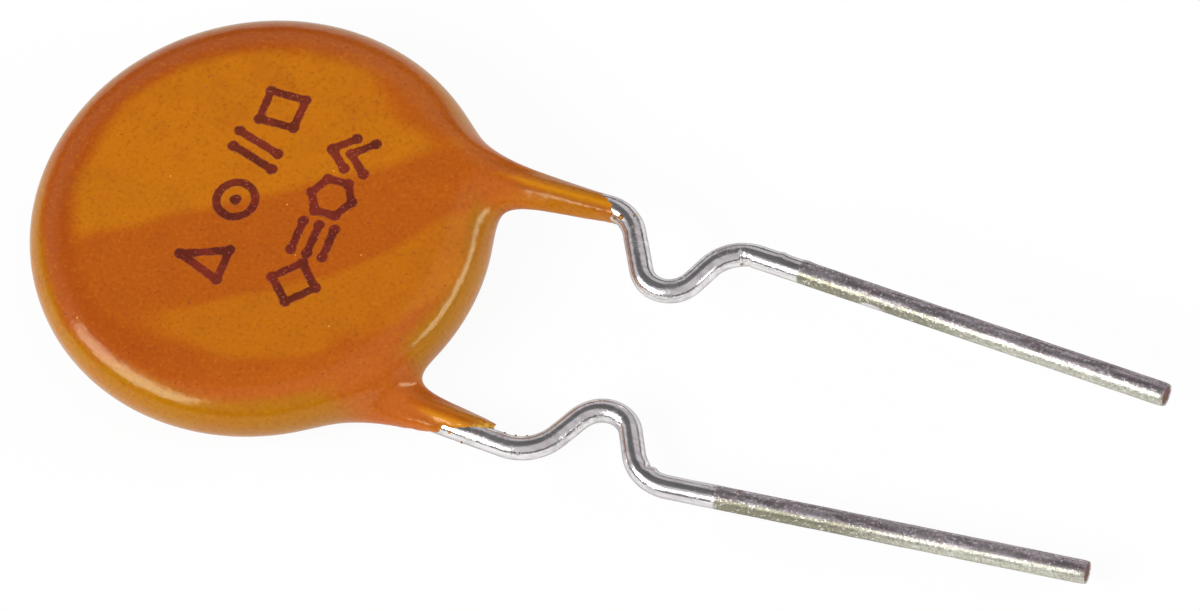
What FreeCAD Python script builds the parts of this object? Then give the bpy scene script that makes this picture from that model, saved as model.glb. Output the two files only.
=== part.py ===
import FreeCAD, Part
import math
import os

import Sketcher

# Resettable fuse: a round chip of conductive polymer between two nickel foils, a kinked wire lead soldered
# to each foil, and a dipped epoxy coat that ends in a tapering leg on each lead.
#
# Frame: the fuse lies on the plain (rear) face of its coat. The origin is the centre of that face, +Z is up
# through the disc to the marked (front) face, +X points along the leads to their tips, and the front lead is
# on the +Y side. Lengths are in millimetres and angles in degrees.

# Driving dimensions, each written once

SIZES = {
    # Chip and foils, punched out of one laminate
    "chip_diameter": 9.0,
    "chip_thickness": 0.36,
    "foil_thickness": 0.035,
    # Lead wire, 24 AWG, and how far its inner end stays inside the chip's edge
    "wire_diameter": 0.51,
    "wire_margin": 0.7,
    # Solder: the film under a wire, half the width of its foot, how far it climbs past the wire's axis,
    # the radius of its hollow flanks, the cap past the wire's inner end, and its margin to the foil's edge
    "solder_film": 0.03,
    "solder_foot": 0.52,
    "solder_climb": 0.11,
    "solder_hollow": 0.45,
    "solder_cap": 0.22,
    "solder_margin": 0.3,
    # Epoxy over the wires and past the chip's edge, how far in the shoulder starts to fall, and the rim's arc
    "coat_over_wire": 0.245,
    "coat_at_edge": 0.5,
    "shoulder_width": 1.3,
    "rim_radius": 0.77,
    # Front lead: its line across the disc, then the straights and bends of its kink, in order
    "front_offset": 2.31,
    "front_spread": 0.5,
    "front_stand_off": 2.69,
    "front_entry_radius": 0.855,
    "front_entry_turn": 60.2,
    "front_entry_flank": 0.98,
    "front_crest_radius": 0.645,
    "front_crest_turn": 125.1,
    "front_exit_flank": 0.466,
    "front_exit_radius": 0.97,
    "front_exit_turn": 69.3,
    "front_tail": 9.51,
    # Rear lead, bent by the same tool a little further back
    "rear_offset": 2.675,
    "rear_spread": 4.7,
    "rear_stand_off": 2.55,
    "rear_entry_radius": 1.065,
    "rear_entry_turn": 66.1,
    "rear_entry_flank": 0.61,
    "rear_crest_radius": 0.667,
    "rear_crest_turn": 123.4,
    "rear_exit_flank": 0.551,
    "rear_exit_radius": 1.007,
    "rear_exit_turn": 66.1,
    "rear_tail": 9.3,
    # Legs of the coat: each starts with its outer flank a root depth inside the rim, narrows past the rim to
    # a skin on the wire, and leaves some of the straight wire bare. A coat is the epoxy above and below the
    # wire, a flare what half a section is wider than it is high, and a drop how far it hangs toward the chip.
    "root_depth": 0.7,
    "root_coat": 0.24,
    "root_flare": 0.1,
    "root_drop": 0.14,
    "throat_reach": 0.9,
    "throat_coat": 0.14,
    "throat_flare": 0.03,
    "throat_drop": 0.04,
    "skin_coat": 0.05,
    "skin_flare": 0.01,
    "web_radius": 0.7,
    "front_bare": 0.05,
    "rear_bare": 0.45,
}

# Sizes that follow from them. An edge is where a lead's line meets the coat's rim, a run the straight wire
# from its inner end to the first bend, and a root and a leg end are counted from the disc's axis.

FOLLOWING = {
    "wire_radius": "wire_diameter / 2",
    "foil_face": "chip_thickness / 2 + foil_thickness",
    "lead_height": "foil_face + solder_film + wire_radius",
    "half_body": "lead_height + wire_radius + coat_over_wire",
    "body_radius": "chip_diameter / 2 + coat_at_edge",
    "solder_top": "solder_film + wire_radius + solder_climb",
    "wetted_width": "sqrt(wire_radius ^ 2 - solder_climb ^ 2)",
}
for end in ("front", "rear"):
    FOLLOWING.update({
        f"{end}_reach": f"sqrt((chip_diameter / 2 - wire_margin) ^ 2 - {end}_offset ^ 2)",
        f"{end}_edge": f"sqrt(body_radius ^ 2 - {end}_offset ^ 2)",
        f"{end}_run": f"{end}_reach + {end}_edge + {end}_stand_off",
        f"{end}_root": f"sqrt((body_radius - root_depth) ^ 2"
                       f" - ({end}_offset + wire_radius + root_coat + root_flare) ^ 2)",
        f"{end}_leg_end": f"({end}_edge + {end}_stand_off - {end}_bare) * cos({end}_spread)",
        f"{end}_solder": f"{end}_reach + sqrt((chip_diameter / 2 - solder_margin) ^ 2"
                         f" - ({end}_offset + solder_foot) ^ 2)",
    })

# The front lead lies on the +Y and +Z side of the chip, the rear lead on the other
SIDE = {"front": 1, "rear": -1}

# A lead from its inner end: each straight, and the bend after it, toward the middle (-1) or away from it
KINK = (("run", "entry", -1), ("entry_flank", "crest", 1), ("exit_flank", "exit", -1), ("tail", None, 0))

# What a sketch constraint calls the ends and the centre of a line or curve, and its own axes
START, END, CENTRE = 1, 2, 3
ACROSS, UPRIGHT = -1, -2
UP = FreeCAD.Vector(0, 0, 1)


def fill_sheet(doc):
    """Keep the driving dimensions, and what follows from them, in the sheet."""
    sheet = doc.addObject("Spreadsheet::Sheet", "sizes")
    cells = {name: str(value) for name, value in SIZES.items()}
    cells.update({name: f"={formula}" for name, formula in FOLLOWING.items()})
    for row, (name, content) in enumerate(cells.items(), start=1):
        sheet.set(f"A{row}", name)
        sheet.set(f"B{row}", content)
        sheet.setAlias(f"B{row}", name)
    doc.recompute()


def value(thing, formula):
    """What a formula comes to now, to lay geometry where its constraints will hold it."""
    return float(thing.evalExpression(formula))


def bind(thing, **formulas):
    """Tie properties to formulas; a double underscore in a name stands for a dot."""
    for name, formula in formulas.items():
        thing.setExpression(name.replace("__", "."), formula)


def fix(sketch, kind, *where):
    """Add a constraint that has no size."""
    sketch.addConstraint(Sketcher.Constraint(kind, *where))


def drive(sketch, kind, *where, by):
    """Add a constraint and tie its size to a formula."""
    size = value(sketch, by)
    if kind == "Angle":
        size = math.radians(size)
    number = sketch.addConstraint(Sketcher.Constraint(kind, *where, size))
    sketch.setExpression(f"Constraints[{number}]", by)


def origin_plane(body, role):
    """One of the planes through a body's own origin."""
    return next(feature for feature in body.Origin.OriginFeatures if feature.Role == role)


def sketch_on(body, role, name, station="0"):
    """A sketch on one of the body's origin planes, moved along the plane's normal."""
    sketch = body.newObject("Sketcher::SketchObject", name)
    sketch.AttachmentSupport = [(origin_plane(body, role), "")]
    sketch.MapMode = "FlatFace"
    bind(sketch, AttachmentOffset__Base__z=station)
    return sketch


def circle_on(body, role, name, radius):
    """A sketch of one circle about the body's own axis."""
    sketch = sketch_on(body, role, name)
    circle = sketch.addGeometry(Part.Circle())
    fix(sketch, "Coincident", circle, CENTRE, ACROSS, START)
    drive(sketch, "Radius", circle, by=radius)
    return sketch


def disc_body(doc, name, height):
    """A body with its origin on the disc's axis, at a height above the mid-plane."""
    body = doc.addObject("PartDesign::Body", name)
    bind(body, Placement__Base__z=f"sizes.half_body + {height}")
    return body


def plate(doc, name, height, thickness):
    """The chip or one of its foils: a round plate, padded up from its height."""
    body = disc_body(doc, name, height)
    pad = body.newObject("PartDesign::Pad", f"{name}_pad")
    pad.Profile = circle_on(body, "XY_Plane", f"{name}_outline", "sizes.chip_diameter / 2")
    bind(pad, Length=thickness)
    return body


def lead_body(doc, end, name, height):
    """A body in a lead's own frame: the origin is at the wire's inner end, +X runs along the wire, +Y points
    away from the middle of the disc and +Z away from the chip. The rear one is the front one turned over."""
    side, reach, spread = SIDE[end], f"sizes.{end}_reach", f"sizes.{end}_spread"
    body = doc.addObject("PartDesign::Body", name)
    bind(
        body,
        Placement__Base__x=f"-{reach} * cos({spread})",
        Placement__Base__y=f"{side} * (sizes.{end}_offset - {reach} * sin({spread}))",
        Placement__Base__z=f"sizes.half_body + {side} * {height}",
        Placement__Rotation__Yaw=f"{side} * {spread}",
        Placement__Rotation__Roll=f"{90 - 90 * side}",
    )
    return body


def along(heading, length):
    """A step in the plane of a sketch, by its heading in degrees."""
    return FreeCAD.Rotation(heading, 0, 0).multVec(FreeCAD.Vector(length, 0, 0))


def lead_path(body, end):
    """The centre line of a wire: four straights and, between them, the three bends of the kink."""
    path = sketch_on(body, "XY_Plane", f"{end}_path")
    here, heading, heading_formula = FreeCAD.Vector(), 0.0, "0"
    arc = arc_exit = None
    for straight, bend, way in KINK:
        length = f"sizes.{end}_{straight}"
        there = here + along(heading, value(path, length))
        line = path.addGeometry(Part.LineSegment(here, there))
        drive(path, "Distance", line, by=length)
        drive(path, "Angle", line, by=heading_formula)
        if arc is None:
            fix(path, "Coincident", line, START, ACROSS, START)
        else:
            fix(path, "Tangent", arc, arc_exit, line, START)
        if bend is None:
            continue
        radius, turn = f"sizes.{end}_{bend}_radius", f"sizes.{end}_{bend}_turn"
        first = heading - 90 * way
        last = first + value(path, turn) * way
        centre = there - along(first, value(path, radius))
        low, high = sorted((math.radians(first), math.radians(last)))
        circle = Part.Circle(centre, UP, value(path, radius))
        arc = path.addGeometry(Part.ArcOfCircle(circle, low, high))
        arc_entry, arc_exit = (START, END) if way > 0 else (END, START)
        fix(path, "Tangent", line, END, arc, arc_entry)
        drive(path, "Radius", arc, by=radius)
        here = centre + along(last, value(path, radius))
        heading += value(path, turn) * way
        heading_formula += f" {way:+d} * {turn}"
    return path


def lead(doc, end):
    """One tinned wire, its round section swept along its kinked path."""
    body = lead_body(doc, end, f"{end}_lead", "sizes.lead_height")
    path = lead_path(body, end)
    section = circle_on(body, "YZ_Plane", f"{end}_section", "sizes.wire_radius")
    wire = body.newObject("PartDesign::AdditivePipe", f"{end}_wire")
    wire.Profile = section
    wire.Spine = path
    return body


def solder_section(body, end):
    """The bead across the wire: a foot on the foil, a crown inside the wire, and a hollow flank each side."""
    section = sketch_on(body, "YZ_Plane", f"{end}_bead_section", "-sizes.solder_cap")
    names = ("solder_foot", "wetted_width", "solder_top", "solder_hollow")
    foot, crown, top, hollow = (value(section, f"sizes.{name}") for name in names)
    low_left, low_right = FreeCAD.Vector(-foot, 0, 0), FreeCAD.Vector(foot, 0, 0)
    high_left, high_right = FreeCAD.Vector(-crown, top, 0), FreeCAD.Vector(crown, top, 0)
    base = section.addGeometry(Part.LineSegment(low_left, low_right))
    ridge = section.addGeometry(Part.LineSegment(high_left, high_right))
    fix(section, "PointOnObject", base, START, ACROSS)
    fix(section, "Symmetric", base, START, base, END, ACROSS, START)
    fix(section, "Symmetric", ridge, START, ridge, END, UPRIGHT)
    drive(section, "DistanceX", base, START, base, END, by="2 * sizes.solder_foot")
    drive(section, "DistanceX", ridge, START, ridge, END, by="2 * sizes.wetted_width")
    drive(section, "DistanceY", ACROSS, START, ridge, START, by="sizes.solder_top")
    for start, stop, from_line, from_end, to_line, to_end in (
        (low_left, high_left, base, START, ridge, START),
        (high_right, low_right, ridge, END, base, END),
    ):
        chord = stop - start
        outward = FreeCAD.Vector(-chord.y, chord.x, 0).normalize()
        centre = (start + stop) / 2 + outward * math.sqrt(hollow ** 2 - chord.Length ** 2 / 4)
        first, last = (math.atan2(point.y - centre.y, point.x - centre.x) for point in (start, stop))
        flank = section.addGeometry(Part.ArcOfCircle(Part.Circle(centre, UP, hollow), first, last))
        fix(section, "Coincident", flank, START, from_line, from_end)
        fix(section, "Coincident", flank, END, to_line, to_end)
        drive(section, "Radius", flank, by="sizes.solder_hollow")
    return section


def solder(doc, end):
    """The solder that seats a wire on its foil: a bead padded along the wire, and the wire's groove in it."""
    body = lead_body(doc, end, f"{end}_solder", "sizes.foil_face")
    section = solder_section(body, end)
    bead = body.newObject("PartDesign::Pad", f"{end}_bead")
    bead.Profile = section
    bind(bead, Length=f"sizes.solder_cap + sizes.{end}_solder")
    wire_section = circle_on(body, "YZ_Plane", f"{end}_groove_section", "sizes.wire_radius")
    bind(wire_section, AttachmentOffset__Base__y="sizes.solder_film + sizes.wire_radius")
    groove = body.newObject("PartDesign::Pocket", f"{end}_groove")
    groove.Profile = wire_section
    groove.Reversed = True
    bind(groove, Length=f"sizes.{end}_solder")
    return body


def coat_disc(body):
    """The dipped disc. Its front half, a flat face that runs through a wide shoulder arc into the tighter arc
    of the rim, is revolved, and mirrored to the rear."""
    profile = sketch_on(body, "XZ_Plane", "coat_profile")
    names = ("body_radius", "half_body", "shoulder_width", "rim_radius")
    reach, half, width, rim = (value(profile, f"sizes.{name}") for name in names)
    shoulder = ((width - rim) ** 2 + half ** 2 - rim ** 2) / (2 * (half - rim))
    rim_centre = FreeCAD.Vector(reach - rim, 0, 0)
    shoulder_centre = FreeCAD.Vector(reach - width, half - shoulder, 0)
    meeting = math.atan2(shoulder - half, width - rim)
    rim_arc = profile.addGeometry(Part.ArcOfCircle(Part.Circle(rim_centre, UP, rim), 0, meeting))
    shoulder_arc = profile.addGeometry(
        Part.ArcOfCircle(Part.Circle(shoulder_centre, UP, shoulder), meeting, math.pi / 2)
    )
    corners = [FreeCAD.Vector(*point, 0) for point in ((reach - width, half), (0, half), (0, 0), (reach, 0))]
    face, axis, middle = (
        profile.addGeometry(Part.LineSegment(*ends)) for ends in zip(corners, corners[1:])
    )
    fix(profile, "Tangent", rim_arc, END, shoulder_arc, START)
    fix(profile, "Tangent", shoulder_arc, END, face, START)
    for before, after in ((face, axis), (axis, middle), (middle, rim_arc)):
        fix(profile, "Coincident", before, END, after, START)
    fix(profile, "Coincident", axis, END, ACROSS, START)
    fix(profile, "PointOnObject", middle, END, ACROSS)
    fix(profile, "PointOnObject", rim_arc, CENTRE, ACROSS)
    fix(profile, "Vertical", axis)
    fix(profile, "Horizontal", face)
    drive(profile, "Radius", rim_arc, by="sizes.rim_radius")
    drive(profile, "DistanceX", ACROSS, START, middle, END, by="sizes.body_radius")
    drive(profile, "DistanceX", face, START, middle, END, by="sizes.shoulder_width")
    drive(profile, "DistanceY", ACROSS, START, axis, START, by="sizes.half_body")
    front_half = body.newObject("PartDesign::Revolution", "front_half")
    front_half.Profile = profile
    front_half.ReferenceAxis = (profile, ["V_Axis"])
    front_half.Angle = 360
    disc = body.newObject("PartDesign::Mirrored", "dipped_disc")
    disc.Originals = [front_half]
    disc.MirrorPlane = (origin_plane(body, "XY_Plane"), [""])
    body.Tip = disc


def drive_ellipse(sketch, curve, width, height):
    """Lay an ellipse's long axis level, and tie both its axes to formulas."""
    long_axis = sketch.GeometryCount
    sketch.exposeInternalGeometry(curve)
    fix(sketch, "Horizontal", long_axis)
    drive(sketch, "Distance", long_axis, by=width)
    drive(sketch, "Distance", long_axis + 1, by=height)


def coat_leg(body, end):
    """One leg of the coat: oval sections from inside the disc to a skin on the wire, lofted."""
    side = SIDE[end]
    stations = {
        "root": (f"sizes.{end}_root", "sizes.lead_height - sizes.root_drop"),
        "throat": (f"sizes.{end}_edge + sizes.throat_reach", "sizes.lead_height - sizes.throat_drop"),
        "skin": (f"sizes.{end}_leg_end", "sizes.lead_height"),
    }
    sections = []
    for name, (station, height) in stations.items():
        section = sketch_on(body, "YZ_Plane", f"{end}_leg_{name}", station)
        across = f"{side} * (sizes.{end}_offset + ({station}) * tan(sizes.{end}_spread))"
        upward = f"{side} * ({height})"
        tall = f"(sizes.wire_radius + sizes.{name}_coat)"
        wide = f"({tall} + sizes.{name}_flare)"
        y, z, half_height, half_width = (value(section, formula) for formula in (across, upward, tall, wide))
        centre = FreeCAD.Vector(y, z, 0)
        ellipse = Part.Ellipse(
            centre + FreeCAD.Vector(half_width, 0, 0), centre + FreeCAD.Vector(0, half_height, 0), centre
        )
        oval = section.addGeometry(ellipse)
        drive_ellipse(section, oval, f"2 * {wide}", f"2 * {tall}")
        drive(section, "DistanceX", ACROSS, START, oval, CENTRE, by=across)
        drive(section, "DistanceY", ACROSS, START, oval, CENTRE, by=upward)
        sections.append(section)
    leg = body.newObject("PartDesign::AdditiveLoft", f"{end}_leg")
    leg.Profile = sections[0]
    leg.Sections = sections[1:]


def coat_webs(body):
    """The webs that surface tension draws between the shoulder and each leg: a fillet along each crease."""
    legs = body.Tip
    creases = []
    for number, edge in enumerate(legs.Shape.Edges, start=1):
        surfaces = {type(face.Surface) for face in legs.Shape.ancestorsOfType(edge, Part.Face)}
        if surfaces == {Part.BSplineSurface, Part.Toroid}:
            creases.append(f"Edge{number}")
    webs = body.newObject("PartDesign::Fillet", "webs")
    webs.Base = (legs, creases)
    bind(webs, Radius="sizes.web_radius")


def coat(doc, embedded):
    """The cured epoxy: the dipped form, hollow where the chip, foils, solder and wires lie in it."""
    form = disc_body(doc, "coat_form", "0")
    coat_disc(form)
    for end in SIDE:
        coat_leg(form, end)
    doc.recompute()
    coat_webs(form)
    core = doc.addObject("Part::MultiFuse", "embedded_pieces")
    core.Shapes = embedded
    shell = doc.addObject("Part::Cut", "epoxy_coating")
    shell.Base = form
    shell.Tool = core
    return shell


def build(doc):
    """Make every sub-part and return them, each with the name of its node as its label."""
    fill_sheet(doc)
    pieces = [
        plate(doc, "polymer_disc", "-sizes.chip_thickness / 2", "sizes.chip_thickness"),
        plate(doc, "front_electrode", "sizes.chip_thickness / 2", "sizes.foil_thickness"),
        plate(doc, "rear_electrode", "-sizes.foil_face", "sizes.foil_thickness"),
    ]
    for end in SIDE:
        pieces += [lead(doc, end), solder(doc, end)]
    pieces.append(coat(doc, list(pieces)))
    for piece in pieces:
        piece.Label = piece.Name
    doc.recompute()
    return pieces


def check(doc, pieces):
    """Stop unless every object was rebuilt and each piece is one valid solid."""
    for thing in doc.Objects:
        if {"Invalid", "Error"} & set(thing.State):
            raise RuntimeError(f"{thing.Name} failed: {thing.State}")
    for piece in pieces:
        shape = piece.Shape
        if shape.isNull() or not shape.isValid() or len(shape.Solids) != 1:
            raise RuntimeError(f"{piece.Label} isn't one valid solid")


def main():
    doc = FreeCAD.newDocument("resettable_fuse")
    pieces = build(doc)
    check(doc, pieces)
    os.makedirs("parts", exist_ok=True)
    for piece in pieces:
        piece.Shape.exportStep(f"parts/{piece.Label}.step")
        box = piece.Shape.BoundBox
        extent = " x ".join(f"{length:.2f}" for length in (box.XLength, box.YLength, box.ZLength))
        print(f"{piece.Label}: {extent} mm, {piece.Shape.Volume:.3f} mm3")


main()
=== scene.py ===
# %% [markdown]
# # A resettable fuse, dressed for a close look
#
# The part is a round chip dipped in orange-brown epoxy, with two tinned wire leads that each have a kink. The
# solid model gives every size and place. This script adds what a solid model leaves out: the soft skin of the
# dipped coat, its ragged ends on the wires, the burnt marking, and the bright and dull tin.
#
# Everything is modelled in millimetres and shrunk to metres at the end, because one unit is then about the
# size of what is being shaped, and the numbers stay easy to read.

# %% The frame

import math

import bpy
from mathutils import Matrix, Vector


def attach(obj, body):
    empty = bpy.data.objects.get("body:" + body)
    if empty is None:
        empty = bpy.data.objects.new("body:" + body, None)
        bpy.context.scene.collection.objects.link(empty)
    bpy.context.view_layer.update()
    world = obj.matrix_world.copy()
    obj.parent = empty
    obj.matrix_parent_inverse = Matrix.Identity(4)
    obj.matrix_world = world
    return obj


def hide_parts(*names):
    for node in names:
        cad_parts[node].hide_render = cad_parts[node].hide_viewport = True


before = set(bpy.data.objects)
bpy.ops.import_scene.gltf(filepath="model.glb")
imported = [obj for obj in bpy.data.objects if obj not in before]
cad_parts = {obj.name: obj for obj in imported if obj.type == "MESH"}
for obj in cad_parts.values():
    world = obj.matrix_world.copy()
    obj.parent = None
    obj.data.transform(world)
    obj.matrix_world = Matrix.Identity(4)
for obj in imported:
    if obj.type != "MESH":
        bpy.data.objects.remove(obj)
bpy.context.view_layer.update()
MM = 0.001

# %% [markdown]
# ## Nodes written as formulas
#
# Both the shapes and the finishes below are node trees. Placing each Add and Multiply node by hand hides the
# idea behind them, so a small class wraps a socket and lets it stand in a formula. `Recipe` holds the tree
# and makes any other node: first its settings, then its sockets.

# %% Sockets that can be added and multiplied


class Port:
    """An output socket of a node tree, for use in a formula."""

    def __init__(self, recipe, socket):
        self.recipe, self.socket = recipe, socket

    def __add__(self, other):
        return self.recipe.maths("ADD", self, other)

    def __sub__(self, other):
        return self.recipe.maths("SUBTRACT", self, other)

    def __rsub__(self, other):
        return self.recipe.maths("SUBTRACT", other, self)

    def __mul__(self, other):
        return self.recipe.maths("MULTIPLY", self, other)

    def __truediv__(self, other):
        return self.recipe.maths("DIVIDE", self, other)

    def __rtruediv__(self, other):
        return self.recipe.maths("DIVIDE", other, self)

    def __pow__(self, other):
        return self.recipe.maths("POWER", self, other)

    def __neg__(self):
        return self * -1.0

    __radd__ = __add__
    __rmul__ = __mul__


# %% A node tree in the making


class Recipe:
    """A node tree that is being written."""

    def __init__(self, tree):
        self.tree = tree

    def node(self, kind, settings=None, inputs=None, out=0):
        """Any node: its settings are made first, then its sockets get values or links."""
        made = self.tree.nodes.new(kind)
        for name, setting in (settings or {}).items():
            setattr(made, name, setting)
        for key, given in (inputs or {}).items():
            self.feed(made, key, given)
        return Port(self, made.outputs[out])

    def feed(self, node, key, given):
        """Give a socket a value, or link it to a port."""
        socket = node.inputs[key] if isinstance(key, int) else find_socket(node, key)
        if isinstance(given, Port):
            self.tree.links.new(given.socket, socket)
        else:
            socket.default_value = given

    def other(self, port, out):
        """Another output of the node that a port belongs to."""
        return Port(self, port.socket.node.outputs[out])

    def maths(self, operation, *values):
        return self.node("ShaderNodeMath", {"operation": operation}, dict(enumerate(values)))

    def vectors(self, operation, *values, out=0):
        return self.node("ShaderNodeVectorMath", {"operation": operation}, dict(enumerate(values)), out)

    def stretch(self, vector, amount):
        """A vector times a number."""
        return self.node("ShaderNodeVectorMath", {"operation": "SCALE"}, {0: vector, "Scale": amount})

    def split(self, vector):
        """The three numbers of a vector."""
        first = self.node("ShaderNodeSeparateXYZ", inputs={0: vector})
        return [Port(self, socket) for socket in first.socket.node.outputs]

    def join(self, x, y, z):
        return self.node("ShaderNodeCombineXYZ", inputs={0: x, 1: y, 2: z})

    def root(self, value):
        return self.maths("SQRT", value)

    def lower(self, *values):
        """The lowest of some numbers."""
        least = values[0]
        for value in values[1:]:
            least = self.maths("MINIMUM", least, value)
        return least

    def higher(self, *values):
        """The highest of some numbers."""
        most = values[0]
        for value in values[1:]:
            most = self.maths("MAXIMUM", most, value)
        return most

    def noise(self, place, scale, detail=2.0, roughness=0.5, out=0):
        """Cloudy variation about 0.5."""
        return self.node(
            "ShaderNodeTexNoise",
            inputs={"Vector": place, "Scale": scale, "Detail": detail, "Roughness": roughness},
            out=out,
        )

    def sway(self, place, scale, reach):
        """A place moved a little this way and that."""
        cloud = self.vectors("SUBTRACT", self.noise(place, scale, out=1), (0.5, 0.5, 0.5))
        return self.vectors("ADD", place, self.stretch(cloud, reach))

    def fade(self, value, low, high):
        """0 up to low, 1 from high on, and a soft step between; it falls instead if low is above high."""
        rising = low < high
        return self.node(
            "ShaderNodeMapRange",
            {"interpolation_type": "SMOOTHSTEP"},
            {
                "Value": value,
                "From Min": min(low, high),
                "From Max": max(low, high),
                "To Min": 0.0 if rising else 1.0,
                "To Max": 1.0 if rising else 0.0,
            },
        )

    def mix(self, amount, first, second):
        """From one colour to another."""
        return self.node(
            "ShaderNodeMix",
            {"data_type": "RGBA"},
            {"Factor_Float": amount, "A_Color": first, "B_Color": second},
            out=2,
        )

    def layers(self, colour, *coats):
        """A colour with others laid over it in turn, each by its own amount."""
        for amount, over in coats:
            colour = self.mix(amount, colour, over)
        return colour

    def bump(self, height, depth):
        """A normal that leans as a skin of this height, 0 to 1, and depth in millimetres would."""
        return self.node("ShaderNodeBump", inputs={"Height": height, "Distance": depth * MM})


# %% Sockets and colours


def find_socket(node, key):
    """A socket by its identifier, or else by its name."""
    for field in ("identifier", "name"):
        for socket in node.inputs:
            if getattr(socket, field) == key:
                return socket
    raise KeyError(f"{node.bl_idname} has no socket {key}")


def seen(red, green, blue):
    """A colour as the eye reads it from a screen, 0 to 255, turned into the light that a shader adds up."""
    shares = [value / 255 for value in (red, green, blue)]
    light = [share / 12.92 if share < 0.04045 else ((share + 0.055) / 1.055) ** 2.4 for share in shares]
    return (*light, 1.0)


def new_finish(name, **constants):
    """A material with one shader whose even sockets are set here, and a place on the piece in millimetres."""
    material = bpy.data.materials.new(name)
    material.use_nodes = True
    shader = material.node_tree.nodes["Principled BSDF"]
    for socket, value in constants.items():
        shader.inputs[socket.replace("_", " ")].default_value = value
    recipe = Recipe(material.node_tree)
    place = recipe.stretch(recipe.node("ShaderNodeTexCoord", out=3), 1 / MM)
    return material, recipe, shader, place


def marked(recipe, name):
    """A number that the shape's tree left on each point of the mesh."""
    return recipe.node("ShaderNodeAttribute", {"attribute_name": name}, out=2)


# %% [markdown]
# ## Shapes from geometry nodes
#
# Each shape is one tree with named sizes as its inputs. The modifier that runs it is set up, evaluated once
# and thrown away, and what stays is a plain mesh in metres whose object sits at the origin.

# %% Run a tree and keep its mesh


def shape_tree(name, sizes):
    """A geometry tree with a geometry input, then one number input for each named size."""
    tree = bpy.data.node_groups.new(name, "GeometryNodeTree")
    tree.interface.new_socket("Geometry", in_out="INPUT", socket_type="NodeSocketGeometry")
    for size, value in sizes.items():
        tree.interface.new_socket(size, in_out="INPUT", socket_type="NodeSocketFloat").default_value = value
    tree.interface.new_socket("Geometry", in_out="OUTPUT", socket_type="NodeSocketGeometry")
    recipe = Recipe(tree)
    start = tree.nodes.new("NodeGroupInput")
    given = {socket.name: Port(recipe, socket) for socket in start.outputs if socket.name}
    return recipe, given


def finish_tree(recipe, geometry, material, *patches):
    """Shrink to metres, make any instances real, and give the material, with another one on each patch."""
    small = recipe.node("GeometryNodeTransform", inputs={"Geometry": geometry, "Scale": (MM, MM, MM)})
    smooth = recipe.node("GeometryNodeSetShadeSmooth", inputs={"Geometry": small})
    real = recipe.node("GeometryNodeRealizeInstances", inputs={"Geometry": smooth})
    dressed = recipe.node("GeometryNodeSetMaterial", inputs={"Geometry": real, "Material": material})
    for where, patch in patches:
        dressed = recipe.node(
            "GeometryNodeSetMaterial", inputs={"Geometry": dressed, "Selection": where, "Material": patch}
        )
    end = recipe.tree.nodes.new("NodeGroupOutput")
    recipe.tree.links.new(dressed.socket, end.inputs[0])


def hold(name, mesh):
    """An object in the scene for a mesh."""
    thing = bpy.data.objects.new(name, mesh)
    bpy.context.scene.collection.objects.link(thing)
    return thing


def grow(name, start_mesh, tree, sizes):
    """Run a tree on a mesh with some sizes set, and return a plain object with the result."""
    holder = hold(f"{name}_holder", start_mesh)
    modifier = holder.modifiers.new("shape", "NODES")
    modifier.node_group = tree
    inputs = {item.name: item.identifier for item in tree.interface.items_tree if item.in_out == "INPUT"}
    for size, value in sizes.items():
        modifier[inputs[size]] = value
    evaluated = holder.evaluated_get(bpy.context.evaluated_depsgraph_get())
    mesh = bpy.data.meshes.new_from_object(evaluated)
    mesh.name = name
    bpy.data.objects.remove(holder)
    if None in mesh.materials[:]:
        # a skinned volume brings an empty slot, so its own finish moves up to the first one
        finishes = [finish for finish in mesh.materials if finish]
        mesh.materials.clear()
        for finish in finishes:
            mesh.materials.append(finish)
    piece = hold(name, mesh)
    low, high = (
        [round(pick(vertex.co[axis] for vertex in mesh.vertices) / MM, 2) for axis in range(3)]
        for pick in (min, max)
    )
    triangles = sum(len(face.vertices) - 2 for face in mesh.polygons)
    print(f"{name}: {triangles} triangles, from {low} to {high} mm, in {[m.name for m in mesh.materials]}")
    return piece


def line_mesh(name, points, edges=None):
    """A mesh of points and edges only, for a tree to sweep along or measure to."""
    if edges is None:
        edges = [(i, i + 1) for i in range(len(points) - 1)]
    mesh = bpy.data.meshes.new(name)
    mesh.from_pydata([tuple(point) for point in points], edges, [])
    return mesh


# %% [markdown]
# ## The line of each lead
#
# A lead is straight wire on the chip, then three bends of a forming tool, then a straight tail. Written as a
# list of straights and turns it reads the way the wire was bent, and the same list gives the points that the
# wire's skin is swept along. The bends are true arcs, so no curve fitting is needed.

# %% Bends of the two leads, in millimetres and degrees

WIRE_RADIUS = 0.255
DISC_RADIUS = 5.0
MIDDLE = 1.0  # height of the disc's middle plane, and half the thickness of the coat
LEAD_RISE = 0.5  # from the middle plane to the middle of a wire
INNER_END = 3.8  # how far from the disc's axis a wire ends inside the coat

# Each bend is its radius, its turn, and the straight that follows it
LEADS = {
    "front": {
        "side": 1, "across": 2.31, "spread": 0.5, "stand_off": 2.69,
        "bends": [(0.855, -60.2, 0.98), (0.645, 125.1, 0.466), (0.97, -69.3, 9.51)],
    },
    "rear": {
        "side": -1, "across": 2.675, "spread": 4.7, "stand_off": 2.55,
        "bends": [(1.065, -66.1, 0.61), (0.667, 123.4, 0.551), (1.007, -66.1, 9.3)],
    },
}


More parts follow.
